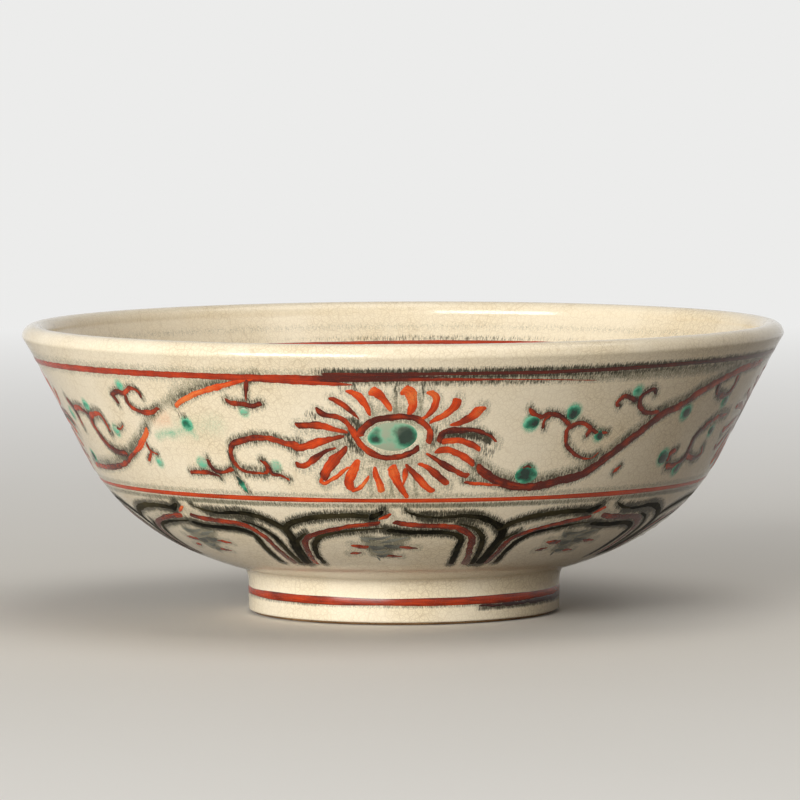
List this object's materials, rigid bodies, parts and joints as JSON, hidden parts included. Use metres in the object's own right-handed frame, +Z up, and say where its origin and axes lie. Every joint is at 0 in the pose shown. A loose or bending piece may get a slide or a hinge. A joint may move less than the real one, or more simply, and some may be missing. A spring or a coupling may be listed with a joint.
{
  "type": "tea bowl",
  "caption": "Wide footed tea bowl with flaring wall, rounded belly, crackled cream glaze and raised enamel flowers, vines and lotus panels.",
  "frame": {"origin": "centre of the foot ring's flat face, where the bowl stands", "axes": "+Z up along the bowl's axis; -Y towards the flower that faces the camera; +X to the right of it"},
  "size_m": [0.15, 0.15, 0.057],
  "materials": {
    "clay": "unglazed, matt",
    "glaze": "glossy with fine crackle",
    "red_enamel": "glossy, brushed",
    "plum_enamel": "glossy, brushed",
    "green_enamel": "glossy, raised",
    "black_enamel": "glossy, feathered",
    "grey_enamel": "glossy, mottled"
  },
  "bodies": {
    "root": {"bowl_wall": "clay", "foot_ring": "clay", "outer_glaze": "glaze", "inner_glaze": "glaze", "foot_glaze": "glaze", "foot_well_glaze": "glaze", "rim_band": "plum_enamel", "waist_band": "red_enamel", "foot_band": "red_enamel", "inner_rim_band": "red_enamel", "flower_1": "red_enamel", "flower_eye_1": "green_enamel", "vine_1": "red_enamel", "curl_1": "red_enamel", "sprig_leaf_1": "green_enamel", "curl_leaf_1": "green_enamel", "flower_2": "red_enamel", "flower_eye_2": "green_enamel", "vine_2": "red_enamel", "curl_2": "red_enamel", "sprig_leaf_2": "green_enamel", "curl_leaf_2": "green_enamel", "flower_3": "red_enamel", "flower_eye_3": "green_enamel", "vine_3": "red_enamel", "curl_3": "red_enamel", "sprig_leaf_3": "green_enamel", "curl_leaf_3": "green_enamel", "flower_4": "red_enamel", "flower_eye_4": "green_enamel", "vine_4": "red_enamel", "curl_4": "red_enamel", "sprig_leaf_4": "green_enamel", "curl_leaf_4": "green_enamel", "panel_outline_1": "black_enamel", "panel_line_1": "red_enamel", "panel_jewel_1": "grey_enamel", "panel_outline_2": "black_enamel", "panel_line_2": "red_enamel", "panel_jewel_2": "grey_enamel", "panel_outline_3": "black_enamel", "panel_line_3": "red_enamel", "panel_jewel_3": "grey_enamel", "panel_outline_4": "black_enamel", "panel_line_4": "red_enamel", "panel_jewel_4": "grey_enamel", "panel_outline_5": "black_enamel", "panel_line_5": "red_enamel", "panel_jewel_5": "grey_enamel", "panel_outline_6": "black_enamel", "panel_line_6": "red_enamel", "panel_jewel_6": "grey_enamel", "panel_outline_7": "black_enamel", "panel_line_7": "red_enamel", "panel_jewel_7": "grey_enamel", "panel_outline_8": "black_enamel", "panel_line_8": "red_enamel", "panel_jewel_8": "grey_enamel"}
  },
  "joints": []
}
